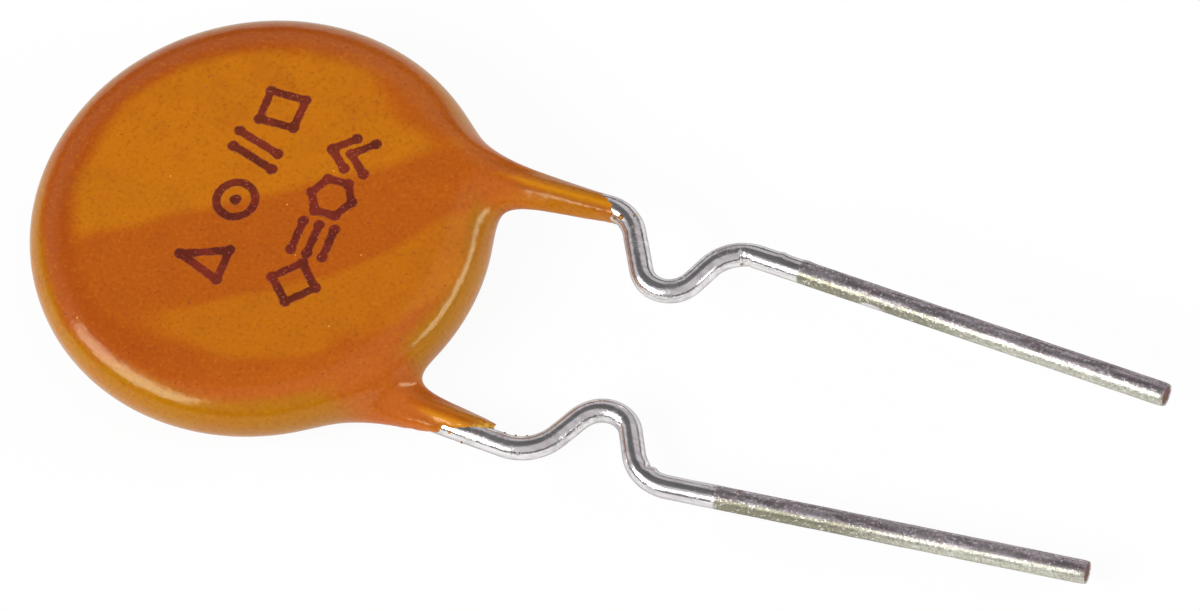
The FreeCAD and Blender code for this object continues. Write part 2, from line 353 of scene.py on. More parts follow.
def lead_line(lead, step=0.05):
    """Points along the middle of a wire, and its length."""
    inner = math.sqrt(INNER_END ** 2 - lead["across"] ** 2)
    rim = math.sqrt(DISC_RADIUS ** 2 - lead["across"] ** 2)
    heading = math.radians(lead["spread"])
    way = complex(math.cos(heading), math.sin(heading))
    here = complex(0, lead["across"]) - inner * way
    points = [here]
    length = inner + rim + lead["stand_off"]
    here += length * way
    points.append(here)
    for radius, turn, straight in lead["bends"]:
        turn = math.radians(turn)
        centre = here + radius * way * complex(0, math.copysign(1, turn))
        count = max(2, round(abs(turn) * radius / step))
        for number in range(1, count + 1):
            swing = turn * number / count
            points.append(centre + (here - centre) * complex(math.cos(swing), math.sin(swing)))
        way *= complex(math.cos(turn), math.sin(turn))
        here = points[-1] + straight * way
        points.append(here)
        length += abs(turn) * radius + straight
    height = MIDDLE + lead["side"] * LEAD_RISE
    line = [Vector((point.real, lead["side"] * point.imag, height)) for point in points]
    print(f"wire of {length:.2f} mm, tip at {tuple(round(v, 3) for v in line[-1])}")
    return line, length


LINES = {end: lead_line(lead) for end, lead in LEADS.items()}

# %% [markdown]
# ## Tinned copper
#
# The wires were dipped in tin. Near the coat the tin is bright, like a mirror that has been handled. Past the
# kink, where the parts were clamped in a strip, it has gone dull and grainy, with a sharp border. The dull
# tin is a pinkish grey with bright painted glints, and on the side that faces -Y it has an olive painted
# reflection of the floor, paler toward the tip. The shape's tree leaves the distance to the border on each
# point, so one finish makes both. Metal gets its contrast from what it reflects, so its colours stay close
# together and its roughness does the work, with streaks from drawing.

# %% Colours and marks of the tin

BRIGHT_TIN, WORN_TIN, FROSTED_TIN = seen(240, 239, 237), seen(216, 211, 213), seen(196, 194, 192)
PINK_GREY, DARK_GREY = seen(186, 176, 182), seen(138, 128, 132)
# painted reflection of the floor, olive and paler, on the dull tin's side that faces -Y
OLIVE_FLOOR_REFLECTION, PALE_FLOOR_REFLECTION = seen(142, 142, 114), seen(204, 206, 186)
# the second colour on the next line is painted glints, bright specks in the dull tin
PIT, PAINTED_GLINT_SPECK, RESIN_STAIN = seen(126, 116, 108), seen(236, 236, 230), seen(120, 84, 42)

# Places on the wires: a patch that stayed bright among the dull tin, and spots of stain
KEPT_BRIGHT = (13.33, 1.62, 1.42)
STAINS = [(7.89, 1.95, 1.7), (9.25, 0.59, 1.68), (9.59, 0.79, 1.68), (10.37, 1.86, 1.5)]


def dull_area(brush, place, past, grain):
    """1 past the border of the bright tin, but for the patch that stayed bright."""
    kept = brush.vectors("MULTIPLY", brush.vectors("SUBTRACT", place, KEPT_BRIGHT), (2.6, 6.0, 5.0))
    kept = brush.fade(brush.vectors("LENGTH", kept, out=1) + (grain - 0.5) * 0.5, 1.05, 0.85)
    return brush.fade(past, -0.02, 0.04) * (1.0 - kept)


def dull_colour(brush, past, streaks, grain, sparkle):
    """Pinkish grey with an olive painted reflection of the floor on its -Y side, dark pits and painted
    glints.
    """
    # the side that faces -Y gets a painted reflection of the floor, olive and paler toward the tip
    facing = brush.split(brush.node("ShaderNodeTexCoord", out=1))[1]
    floor_reflection = brush.mix(brush.fade(past, 2.4, 4.8), OLIVE_FLOOR_REFLECTION, PALE_FLOOR_REFLECTION)
    return brush.layers(
        brush.mix(brush.fade(streaks, 0.36, 0.64), PINK_GREY, DARK_GREY),
        (brush.fade(facing + (grain - 0.5) * 0.5, -0.4, -0.62) * 0.8, floor_reflection),
        (brush.fade(grain, 0.46, 0.34) * 0.55, PIT),
        # painted glints: bright specks in the dull tin's colour
        (sparkle * 0.75, PAINTED_GLINT_SPECK),
    )


def stain_spots(brush, place, grain):
    """1 in spots of stain: some that chance picks, and those placed above."""
    cells = brush.node(
        "ShaderNodeTexVoronoi", inputs={"Vector": brush.sway(place, 6.0, 0.2), "Scale": 1.15}
    )
    chosen = brush.fade(brush.split(brush.other(cells, 1))[0], 0.8, 0.82)
    spots = brush.fade(cells + (grain - 0.5) * 0.12, 0.12, 0.06) * chosen
    for spot in STAINS:
        gap = brush.vectors("DISTANCE", place, spot, out=1) + (grain - 0.5) * 0.06
        spots = brush.higher(spots, brush.fade(gap, 0.075, 0.035))
    return spots


# %% Finish of the wires


def tin_finish():
    tin, brush, shader, place = new_finish("tinned_copper", Specular_Tint=(0.42, 0.40, 0.42, 1.0))
    x, y, z = brush.split(place)
    streaks = brush.noise(brush.join(x * 0.35, y * 2.2, z * 2.2), 3.4, detail=3.0)
    grain = brush.noise(place, 15.0, detail=2.0, roughness=0.7)
    clouds = brush.noise(place, 1.7, detail=3.0)
    frost = brush.fade(clouds + (grain - 0.5) * 0.35, 0.53, 0.66)
    # specks that are painted bright as glints in the dull tin, and made a little smoother
    sparkle = brush.fade(grain, 0.56, 0.66)
    past = marked(brush, "past_bright") + (grain - 0.5) * 0.12
    dull = dull_area(brush, place, past, grain)
    stain = stain_spots(brush, place, grain)
    colour = brush.layers(
        brush.mix(brush.fade(streaks, 0.35, 0.7), BRIGHT_TIN, WORN_TIN),
        (frost * 0.5, FROSTED_TIN),
        (dull, dull_colour(brush, past, streaks, grain, sparkle)),
        (stain * 0.75, RESIN_STAIN),
    )
    brush.feed(shader, "Base Color", colour)
    brush.feed(shader, "Metallic", 0.9 - dull * 0.16 - stain * 0.3)
    rough = 0.17 + frost * 0.12 + (streaks - 0.5) * 0.08
    brush.feed(shader, "Roughness", rough + dull * 0.15 + stain * 0.3 - sparkle * dull * 0.1)
    brush.feed(shader, "Normal", brush.bump(grain * (0.25 + dull * 0.6 + frost * 0.3) + streaks * 0.5, 0.008))
    return tin


def copper_finish():
    copper, brush, shader, place = new_finish("cropped_copper", Metallic=1.0)
    x, y, z = brush.split(place)
    shear = brush.noise(brush.join(x, y * 0.6, z * 3.0), 9.0, detail=3.0)
    brush.feed(shader, "Base Color", brush.mix(shear, seen(66, 38, 28), seen(136, 88, 66)))
    brush.feed(shader, "Roughness", 0.34 + shear * 0.25)
    brush.feed(shader, "Normal", brush.bump(shear, 0.02))
    return copper


TIN, COPPER = tin_finish(), copper_finish()

# %% [markdown]
# ## The wire's skin
#
# Real leads are drawn round and then bent and cropped by tools, which leave a crease, a nick and a few
# bumps. The tree turns the line into a curve, sweeps a circle along it, and then moves the skin: each dent
# has a place along the wire, a side of the wire that it faces, a depth and a length. A bump is a dent with a
# depth below zero. The cropped end is inset, so that the copper core has a finish of its own inside its rim
# of tin.

# %% Dents: place along the wire, side it faces, depth and length, in millimetres

DENTS = {
    "front": [
        (14.73, (-0.1, -0.85, 0.45), 0.07, 0.045),
        (14.86, (-0.1, -0.9, 0.1), 0.045, 0.06),
        (15.57, (0.06, 0.9, 0.42), -0.022, 0.07),
        (16.15, (0.0, 0.75, 0.66), -0.014, 0.1),
        (12.6, (0.5, -0.6, 0.6), 0.014, 0.25),
        (11.05, (-0.8, 0.1, 0.6), 0.012, 0.12),
    ],
    "rear": [
        (13.8, (0.55, 0.8, 0.3), 0.05, 0.06),
        (14.0, (0.5, 0.8, 0.3), -0.025, 0.07),
        (11.5, (0.2, 0.8, 0.5), 0.014, 0.3),
        (12.6, (0.1, -0.7, 0.6), 0.012, 0.2),
    ],
}
BRIGHT_LENGTH = {"front": 16.05, "rear": 15.55}  # from each wire's inner end
CORE_SHARE, CORE_DEPTH = 0.83, 0.02  # the copper's share of the cut face's width, and how far it is sunk


def dent_depth(recipe, along, outward, dents):
    """How deep the tools pressed the skin in, at a place along the wire and a side of it."""
    depth = (recipe.noise(recipe.node("GeometryNodeInputPosition"), 1.6) - 0.5) * 0.014
    for where, facing, deep, length in dents:
        near = recipe.maths("EXPONENT", -(((along - where) / length) ** 2))
        facing = Vector(facing).normalized()
        toward = recipe.vectors("DOT_PRODUCT", outward, facing, out=1)
        depth = depth + near * recipe.higher(toward, 0.0) ** 2 * deep
    return depth


def wire_tree(end, length):
    """Sweep a round wire along a line of edges, dent it, round its lip and inset its cropped end."""
    recipe, given = shape_tree(
        f"{end}_wire_shape", {"Radius": WIRE_RADIUS, "Step": 0.04, "Sides": 44.0, "Bright length": 16.0}
    )
    curve = recipe.node("GeometryNodeMeshToCurve", inputs={"Mesh": given["Geometry"]})
    even = recipe.node(
        "GeometryNodeResampleCurve", {"mode": "LENGTH"}, {"Curve": curve, "Length": given["Step"]}
    )
    measured = recipe.node(
        "GeometryNodeStoreNamedAttribute",
        {"data_type": "FLOAT", "domain": "POINT"},
        {
            "Geometry": even,
            "Name": "past_bright",
            "Value": recipe.node("GeometryNodeSplineParameter", out=1) - given["Bright length"],
        },
    )
    ring = recipe.node(
        "GeometryNodeCurvePrimitiveCircle", inputs={"Resolution": given["Sides"], "Radius": given["Radius"]}
    )
    skin = recipe.node(
        "GeometryNodeCurveToMesh", inputs={"Curve": measured, "Profile Curve": ring, "Fill Caps": True}
    )
    past = recipe.node("GeometryNodeInputNamedAttribute", {"data_type": "FLOAT"}, {"Name": "past_bright"})
    along = past + given["Bright length"]
    outward = recipe.node("GeometryNodeInputNormal")
    lip = recipe.maths("EXPONENT", (along - length) / 0.05) * 0.03
    depth = dent_depth(recipe, along, outward, DENTS[end]) + lip
    sides = recipe.maths("LESS_THAN", along, length - 0.001)
    dented = recipe.node(
        "GeometryNodeSetPosition",
        inputs={"Geometry": skin, "Offset": recipe.stretch(outward, -depth), "Selection": sides},
    )
    cap = recipe.maths("GREATER_THAN", along, length - 0.002)
    inset = recipe.node(
        "GeometryNodeExtrudeMesh",
        {"mode": "FACES"},
        {"Mesh": dented, "Selection": cap, "Offset Scale": 0.0, "Individual": False},
    )
    core = recipe.other(inset, 1)
    narrow = recipe.node(
        "GeometryNodeScaleElements", inputs={"Geometry": inset, "Selection": core, "Scale": CORE_SHARE}
    )
    sunk = recipe.node(
        "GeometryNodeSetPosition",
        inputs={"Geometry": narrow, "Selection": core, "Offset": recipe.stretch(outward, -CORE_DEPTH)},
    )
    finish_tree(recipe, sunk, TIN, (core, COPPER))
    return recipe.tree


# %% Grow both wires

WIRES = {}
for end, (line, length) in LINES.items():
    start = line_mesh(f"{end}_line", line)
    WIRES[end] = grow(f"{end}_wire", start, wire_tree(end, length), {"Bright length": BRIGHT_LENGTH[end]})

# %% [markdown]
# ## The marking
#
# A laser burns the marking into the cured coat. It draws each shape in strokes and rests a moment at each
# end, which leaves a dot there. Here the marking is two rows of plain shapes. They are kept as edges and as
# dots, and the coat's tree stores how far each point of its skin is from them, so the finish can char the
# epoxy there.

# %% Shapes of the marking, in millimetres


def ring_of(count, radius):
    """A closed line round a circle, through evenly spaced corners."""
    angles = [math.radians(360 * number / count) for number in range(count + 1)]
    return [(radius * math.sin(angle), radius * math.cos(angle)) for angle in angles]


SHAPES = {
    "triangle": [[(-0.38, -0.48), (0.38, -0.48), (0.0, 0.52), (-0.38, -0.48)]],
    "square": [[(-0.36, -0.4), (0.36, -0.4), (0.36, 0.4), (-0.36, 0.4), (-0.36, -0.4)]],
    "dotted_ring": [ring_of(28, 0.42), [(0.0, 0.0), (0.0, 0.01)]],
    "slanted_bars": [[(-0.34, -0.5), (-0.04, 0.5)], [(0.04, -0.5), (0.34, 0.5)]],
    "diamond": [ring_of(4, 0.5)],
    "hexagon": [ring_of(6, 0.46)],
    "level_bars": [[(-0.36, step), (0.36, step)] for step in (-0.36, 0.0, 0.36)],
    "chevrons": [[(-0.38, low), (0.0, low + 0.42), (0.38, low)] for low in (-0.42, 0.02)],
}
PLACES = {
    "triangle": (-0.62, -1.56), "dotted_ring": (-0.48, 0.02), "slanted_bars": (-0.51, 1.27),
    "square": (-0.32, 2.36), "diamond": (1.47, -1.52), "level_bars": (1.47, -0.41),
    "hexagon": (1.48, 0.66), "chevrons": (1.51, 1.76),
}
HALF_STROKE, DOT_RADIUS = 0.088, 0.122
SMOOTH_LINE = 20  # a line of this many points is a smooth ring, drawn in one go without dots


def marking():
    """The strokes as edges, and the dots as points. The shapes' tops point to -X and their rows run to +Y."""
    strokes, edges, dots = [], [], []
    for name, lines in SHAPES.items():
        x, y = PLACES[name]
        for line in lines:
            points = [(x - up, y + across, 0.0) for across, up in line]
            edges += [(len(strokes) + i, len(strokes) + i + 1) for i in range(len(points) - 1)]
            strokes += points
            if len(points) < SMOOTH_LINE:
                dots += points
    print(f"marking: {len(edges)} strokes and {len(dots)} dots")
    return hold("strokes", line_mesh("strokes", strokes, edges)), hold("dots", line_mesh("dots", dots, []))


# %% [markdown]
# ## Orange-brown epoxy
#
# The epoxy is a glossy skin full of pigment in two tones, golden and rust, which lie in big soft zones: a
# band across the disc and a patch low on it are golden. Inside the rim runs a ring of painted shade, rust
# all round and darker on the left. The lip of the rim and the legs are a browner gold, with a painted
# highlight along the ridge over each wire and painted shade in the hollows beside it. The zones are a few
# distances, faded at their edges and swayed by noise. Over them come a fine grain, pinholes, pale specks and
# the charred marking.

# %% Zones of the two tones


def beside_wire(x, y, end):
    """How far a point lies from the straight part of a lead, away from the middle of the disc."""
    lead = LEADS[end]
    return y * lead["side"] - x * math.tan(math.radians(lead["spread"])) - lead["across"]


def low_oval_patch(paint, x, y):
    """1 inside a bent oval low on the disc."""
    along = (x - 2.2) * 0.87 + (y + 2.2) * 0.5
    across = (y + 2.2) * 0.87 - (x - 2.2) * 0.5
    bent = across - 0.02 - (along + 0.5) ** 2 * 0.075
    return paint.fade(((along - 0.6) / 4.0) ** 2 + (bent / 0.92) ** 2, 1.3, 0.7)


def golden_zones(paint, place):
    """1 where the coat is golden and 0 where it is rust; 1 in the ring of painted shade; 1 on the lip outside
    it.
    """
    x, y, _ = paint.split(paint.sway(place, 0.55, 0.5))
    around = paint.root(x * x + y * y)
    beside = paint.lower(*(paint.maths("ABSOLUTE", beside_wire(x, y, end)) for end in LEADS))
    off_legs = paint.higher(paint.fade(beside, 0.5, 1.1), paint.fade(x, 3.4, 2.4))
    upper = paint.fade(y - x * 0.64, 0.08, 0.52)
    corner = paint.fade(x + y * 0.9, 4.2, 5.0) * paint.fade(y, 2.5, 2.95)
    face = paint.higher(upper * (1.0 - corner), low_oval_patch(paint, x, y) * 0.8)
    # painted shade: a ring inside the rim, kept out of the golden tone, and darker still on the left
    ring = paint.fade(around, 3.7, 4.15) * paint.fade(x, 4.2, 2.8)
    lip = paint.fade(around, 4.5, 4.8) * off_legs
    return paint.higher(face * (1.0 - ring), paint.fade(x, 4.6, 6.2)), ring * (1.0 - lip), lip


# The painted highlight's place beside each wire, then the place and strength of the lines of painted shade
LEG_LINES = {"front": (-0.05, (-0.19, 1.0), (0.17, 0.6)), "rear": (0.04, (-0.12, 0.9), (0.2, 0.8))}


def painted_leg_lines(paint, x, y, width=0.06):
    """A painted highlight over the wire in each leg, and painted shade in the hollows beside it."""
    ridge_highlight, hollow_shade = 0.0, 0.0
    for end, (ridge, *hollows) in LEG_LINES.items():
        beside = beside_wire(x, y, end)
        near = paint.fade(paint.maths("ABSOLUTE", beside), 0.8, 0.5) * paint.fade(x, 4.5, 5.3)
        ridge_highlight = ridge_highlight + paint.maths("EXPONENT", -(((beside - ridge) / width) ** 2)) * near
        for hollow, depth in hollows:
            hollow_shade = hollow_shade + paint.maths("EXPONENT", -(((beside - hollow) / width) ** 2)) * near * depth
    return ridge_highlight, hollow_shade


# %% Colours and specks of the coat

GOLD, RUST = seen(191, 111, 18), seen(177, 88, 20)
LIP_GOLD, LEG_GOLD, THIN_FILM = seen(166, 106, 2), seen(168, 104, 10), seen(216, 172, 60)
SHADED_RING, RUST_CLOUD = seen(156, 66, 16), seen(160, 74, 20)
PALE_GRAIN, DARK_GRAIN = seen(208, 130, 34), seen(140, 62, 14)
# a painted highlight along each leg's ridge, and painted shade in its hollows
RIDGE_HIGHLIGHT, HOLLOW_SHADE = seen(214, 140, 24), seen(150, 70, 16)
PINHOLE, PALE_SPECK = seen(112, 40, 16), seen(232, 170, 60)
SOOT, DEEP_SOOT, GLINT = seen(116, 32, 26), seen(80, 16, 18), seen(196, 104, 92)


def speckles(paint, place, cells_per_mm, chance, radius):
    """1 in small round spots: one cell in some has a spot of this radius, in millimetres."""
    x, y, _ = paint.split(place)
    cells = paint.node(
        "ShaderNodeTexVoronoi",
        {"voronoi_dimensions": "2D"},
        {"Vector": paint.join(x, y, 0.0), "Scale": cells_per_mm},
    )
    chosen = paint.fade(paint.split(paint.other(cells, 1))[0], 1 - chance - 0.01, 1 - chance + 0.01)
    edge = radius * cells_per_mm
    flat = paint.fade(paint.root(x * x + y * y), 4.75, 4.6)
    return paint.fade(cells, edge * 1.3, edge * 0.6) * chosen * flat


def soot_colour(paint, place, clouds, grain):
    """Charred epoxy, with glints where its skin blistered."""
    burnt = paint.mix(paint.fade(clouds + grain * 0.5, 0.6, 0.9), SOOT, DEEP_SOOT)
    glints = paint.fade(paint.noise(place, 19.0, detail=1.0), 0.64, 0.72)
    return paint.mix(glints * 0.55, burnt, GLINT)


# %% Finish of the coat


def epoxy_finish():
    epoxy, paint, shader, place = new_finish("dipped_epoxy", IOR=1.42, Specular_Tint=(1.0, 0.94, 0.6, 1.0))
    x = paint.split(place)[0]
    grain = paint.noise(place, 11.0, detail=3.0, roughness=0.65)
    clouds = paint.noise(place, 1.1, detail=3.0)
    golden, ring, lip = golden_zones(paint, place)
    # the painted highlight and painted shade along the legs
    ridge_highlight, hollow_shade = painted_leg_lines(paint, *paint.split(paint.sway(place, 2.5, 0.05))[:2])
    pinholes = speckles(paint, place, cells_per_mm=2.4, chance=0.3, radius=0.019)
    shifted = paint.vectors("ADD", place, (0.7, 0.3, 0.0))
    pale_specks = speckles(paint, shifted, cells_per_mm=1.5, chance=0.07, radius=0.022)
    thin = paint.fade(marked(paint, "to_end") + (grain - 0.5) * 0.2, 0.2, -0.08)
    ragged = marked(paint, "mark_gap") + (paint.noise(place, 7.0) - 0.5) * 0.05
    char = paint.fade(ragged, 0.022, -0.012)
    colour = paint.layers(
        paint.mix(golden, RUST, GOLD),
        (lip, LIP_GOLD),
        (paint.fade(x, 4.8, 6.2) * 0.8, LEG_GOLD),
        # painted shade in the ring inside the rim, on the left half
        (ring * paint.fade(x, 2.0, -2.0) * 0.55, SHADED_RING),
        (paint.fade(clouds, 0.4, 0.75) * 0.22, RUST_CLOUD),
        (paint.fade(grain, 0.52, 0.74) * 0.28, PALE_GRAIN),
        (paint.fade(grain, 0.48, 0.3) * 0.4, DARK_GRAIN),
        # painted shade in the hollows beside each leg's ridge, then a painted highlight along the ridge
        (hollow_shade * 0.55, HOLLOW_SHADE),
        (ridge_highlight * 0.6, RIDGE_HIGHLIGHT),
        (pinholes * 0.55, PINHOLE),
        (pale_specks * 0.7, PALE_SPECK),
        (thin * 0.8, THIN_FILM),
        (char * 0.93, soot_colour(paint, place, clouds, grain)),
    )
    paint.feed(shader, "Base Color", colour)
    paint.feed(shader, "Roughness", 0.17 + (clouds - 0.5) * 0.1 + char * 0.2 + pinholes * 0.2)
    skin = paint.noise(place, 3.2, detail=1.0) * 0.6 + grain * 0.16 - char * 0.35 - pinholes * 0.5
    paint.feed(shader, "Normal", paint.bump(skin, 0.018))
    return epoxy


EPOXY = epoxy_finish()

# %% [markdown]
# ## The dipped coat
#
# Epoxy that has run round a chip has no edges: the disc, the legs and the wires under them melt into each
# other. That is what a distance field does well. The coat is written as a formula that is negative inside and
# positive outside, with a soft minimum where surfaces should flow together, and a volume turns it into a
# mesh.

# %% Sizes of the coat

SHOULDER_POWER = 2.25  # 2 would give the rim a plain elliptical section
HALF_DISC = 0.97
RIDGE_HEIGHT, RIDGE_WIDTH = 0.03, 0.5  # over the front wire
ROLL = 0.05  # the uneven face rises and falls by half of this at most
WEB_REACH = {"front": 1.15, "rear": 0.95}  # how widely each leg melts into the disc
LEG_OFFSET = {"front": (0.02, -0.02), "rear": (0.09, 0.05)}  # how far a leg sits off its wire: inward, up
LEG_RADIUS, LEG_THINNING = 0.315, 0.016  # over the wire at the rim, and what it loses with each millimetre
LOBE_RADIUS, LOBE_OFFSET, LOBE_TAPER = 0.25, 0.2, 0.17  # the taper is the share lost with each millimetre
LOBE_SINK = {1: 0.03, -1: 0.07}  # how far the lobe on each side sits below the leg's middle
LEG_STOP = {"front": 7.93, "rear": 5.97}
RAGGED = 1.3

# %% Formula of the coat


def leg_formula(recipe, place, end):
    """Distance from one leg: a ridge over the wire between two lower lobes, and a ragged end."""
    lead = LEADS[end]
    x, y, z = recipe.split(place)
    shift, rise = LEG_OFFSET[end]
    bend_start = math.sqrt(DISC_RADIUS ** 2 - lead["across"] ** 2) + lead["stand_off"]
    into_bend = recipe.higher(x - bend_start, 0.0) ** 2 / (2 * lead["bends"][0][0])
    beside = beside_wire(x, y, end) + shift + into_bend
    above = z - MIDDLE - lead["side"] * LEAD_RISE - rise
    taper = recipe.higher(1.0 - (x - DISC_RADIUS) * LOBE_TAPER, 0.0)
    leg = recipe.root(beside * beside + above * above) - (LEG_RADIUS - (x - DISC_RADIUS) * LEG_THINNING)
    for side, sink in LOBE_SINK.items():
        out, down = beside - taper * (LOBE_OFFSET * side), above + sink
        lobe = recipe.root(out * out + down * down) - taper * LOBE_RADIUS
        leg = recipe.maths("SMOOTH_MIN", leg, lobe, 0.07)

    # the coat gives out at a ragged slant across the wire, thinning before it stops
    ragged = (recipe.noise(place, 4.2, detail=4.0, roughness=0.7) - 0.5) * RAGGED
    if end == "front":
        stop = LEG_STOP[end] + above * 0.3 + beside * 1.4 + ragged
    else:
        stop = LEG_STOP[end] - beside * 1.9 + above * 1.0 + ragged
    leg = leg + recipe.maths("EXPONENT", (x - stop) / 0.22) * 0.1
    leg = recipe.maths("SMOOTH_MAX", leg, x - stop - 0.25, 0.14)
    return recipe.maths("SMOOTH_MAX", leg, 3.3 - x, 0.5), stop - x


def disc_formula(recipe, place, given):
    """Distance from the disc: flat, with a round shoulder, a low ridge over the wire and a sag beside it."""
    x, y, z = recipe.split(place)
    around = recipe.root(x * x + y * y)
    past_flat = around - (DISC_RADIUS - given["Shoulder"])
    past_flat = (past_flat + recipe.root(past_flat * past_flat + 0.03)) * 0.5
    beside = beside_wire(x, y, "front")
    ridge = recipe.maths("EXPONENT", -((beside / RIDGE_WIDTH) ** 2)) * recipe.fade(x, 0.5, 4.0)
    sag = given["Sag"] * recipe.fade(-beside, 0.0, 2.6) * (1.0 - ridge)
    roll = (recipe.noise(place, 0.35, detail=1.0) - 0.5) * ROLL
    front = recipe.fade(z, MIDDLE - 0.3, MIDDLE + 0.3)
    half = HALF_DISC + (ridge * RIDGE_HEIGHT - sag + roll) * front
    up, across = recipe.maths("ABSOLUTE", z - MIDDLE) / half, past_flat / given["Shoulder"]
    return (across ** SHOULDER_POWER + up ** SHOULDER_POWER) ** (1 / SHOULDER_POWER) - 1.0


def coat_formula(recipe, place, given):
    """Distance from the skin of the whole coat, and from a point to the end of the leg it is on."""
    skin, to_end = disc_formula(recipe, place, given), None
    for end, web in WEB_REACH.items():
        leg, left = leg_formula(recipe, place, end)
        skin = recipe.maths("SMOOTH_MIN", skin, leg, web)
        beside = recipe.maths("ABSOLUTE", beside_wire(*recipe.split(place)[:2], end))
        left = left + recipe.fade(beside, 0.6, 1.0) * 10.0
        to_end = left if to_end is None else recipe.lower(to_end, left)
    z = recipe.split(place)[2]
    return recipe.maths("SMOOTH_MAX", skin, recipe.maths("ABSOLUTE", z - MIDDLE) - MIDDLE, 0.12), to_end


# %% Skin the formula


def nearest(recipe, thing, what, place):
    """Distance from a place to the edges or points of another object."""
    other = recipe.node("GeometryNodeObjectInfo", inputs={"Object": thing}, out=4)
    return recipe.node(
        "GeometryNodeProximity", {"target_element": what}, {"Target": other, "Source Position": place}, out=1
    )


def coat_tree(strokes, dots):
    """Fill a box with the formula's values, skin it, and note how far each point is from the marking."""
    recipe, given = shape_tree("coat_shape", {"Voxel": 0.055, "Shoulder": 1.3, "Sag": 0.07})
    low, high = (-5.2, -5.2, -0.15), (8.2, 5.2, 2.15)  # corners of the box
    place = recipe.node("GeometryNodeInputPosition")
    distance, to_end = coat_formula(recipe, place, given)
    counts = {f"Resolution {axis}": (b - a) / given["Voxel"] for axis, a, b in zip("XYZ", low, high)}
    cube = recipe.node(
        "GeometryNodeVolumeCube",
        inputs={"Density": -distance, "Background": -1.0, "Min": low, "Max": high, **counts},
    )
    skin = recipe.node(
        "GeometryNodeVolumeToMesh", {"resolution_mode": "GRID"}, {"Volume": cube, "Threshold": 0.0}
    )
    x, y, z = recipe.split(place)
    flat = recipe.join(x, y, 0.0)
    gap = recipe.lower(
        nearest(recipe, strokes, "EDGES", flat) - HALF_STROKE,
        nearest(recipe, dots, "POINTS", flat) - DOT_RADIUS,
    )
    below_face = recipe.fade(z, 1.6, 1.3)
    notes = {"mark_gap": gap + below_face, "to_end": to_end}
    for name, value in notes.items():
        skin = recipe.node(
            "GeometryNodeStoreNamedAttribute",
            {"data_type": "FLOAT", "domain": "POINT"},
            {"Geometry": skin, "Name": name, "Value": value},
        )
    finish_tree(recipe, skin, EPOXY)
    return recipe.tree


# %% Grow the coat

strokes, dots = marking()
start = line_mesh("coat_start", [(0, 0, 0), (0, 0, 1)])  # only carries the modifier: the tree doesn't read it
COAT = grow("coat", start, coat_tree(strokes, dots), {})
for helper in (strokes, dots):
    bpy.data.objects.remove(helper)

# %% [markdown]
# ## Beads of epoxy on the wires
#
# Where the coat ends, a few tiny beads of epoxy cling to the tin. Each is a small ball at a place along the
# wire and an angle round it, counted from the top away from the middle of the disc. One tree puts a ball on
# each point, and noise makes each one a little lopsided.

# %% Place the beads: lead, length along the wire, angle, radius

BEADS = [
    ("front", 10.66, -33, 0.058), ("front", 10.8, 26, 0.03), ("front", 10.5, -62, 0.034),
    ("front", 10.92, -12, 0.018), ("rear", 8.32, 55, 0.036), ("rear", 8.6, 96, 0.034),
    ("rear", 9.42, -58, 0.024), ("rear", 9.72, -64, 0.028), ("rear", 10.02, -70, 0.022),
    ("rear", 8.9, 20, 0.02),
]


UPWARD = Vector((0, 0, 1))


def on_wire(end, along, angle):
    """A place on a wire's skin."""
    line, side = LINES[end][0], LEADS[end]["side"]
    for here, there in zip(line, line[1:]):
        step = (there - here).length
        if along <= step:
            break
        along -= step
    ahead = (there - here).normalized()
    away = UPWARD.cross(ahead) * side
    lean = math.radians(angle)
    return here + ahead * along + (UPWARD * math.cos(lean) + away * math.sin(lean)) * WIRE_RADIUS


def bead_tree():
    """A lopsided ball on each point, sized by the point's own radius."""
    recipe, given = shape_tree("bead_shape", {"Unevenness": 0.02})
    ball = recipe.node("GeometryNodeMeshIcoSphere", inputs={"Radius": 1.0, "Subdivisions": 3})
    radius = recipe.node("GeometryNodeInputNamedAttribute", {"data_type": "FLOAT"}, {"Name": "radius"})
    placed = recipe.node(
        "GeometryNodeInstanceOnPoints",
        inputs={"Points": given["Geometry"], "Instance": ball, "Scale": radius},
    )
    real = recipe.node("GeometryNodeRealizeInstances", inputs={"Geometry": placed})
    cloud = recipe.noise(recipe.node("GeometryNodeInputPosition"), 14.0, detail=1.0, out=1)
    push = recipe.stretch(recipe.vectors("SUBTRACT", cloud, (0.5, 0.5, 0.5)), given["Unevenness"] * 2.0)
    uneven = recipe.node("GeometryNodeSetPosition", inputs={"Geometry": real, "Offset": push})
    finish_tree(recipe, uneven, EPOXY)
    return recipe.tree


points = line_mesh("bead_points", [on_wire(*bead[:3]) for bead in BEADS], [])
radii = points.attributes.new("radius", "FLOAT", "POINT")
radii.data.foreach_set("value", [radius for *_, radius in BEADS])
BEAD_PIECE = grow("epoxy_beads", points, bead_tree(), {})

# %% [markdown]
# ## Inside the coat
#
# The chip, its foils and the solder are sealed in, so the solid model's own pieces stay as they are. Each
# still gets the finish that it has on the real fuse, for anyone who cuts the model open: black filled
# polymer, rolled nickel foil with fine lines, and solder that set with a soft mottle.

# %% Finishes of the sealed pieces


def polymer_finish():
    polymer, paint, shader, place = new_finish("carbon_filled_polymer", IOR=1.45)
    grain = paint.noise(place, 18.0, detail=4.0, roughness=0.7)
    paint.feed(shader, "Base Color", paint.mix(grain, seen(22, 22, 24), seen(58, 57, 58)))
    paint.feed(shader, "Roughness", 0.55 + grain * 0.3)
    paint.feed(shader, "Normal", paint.bump(grain, 0.01))
    return polymer


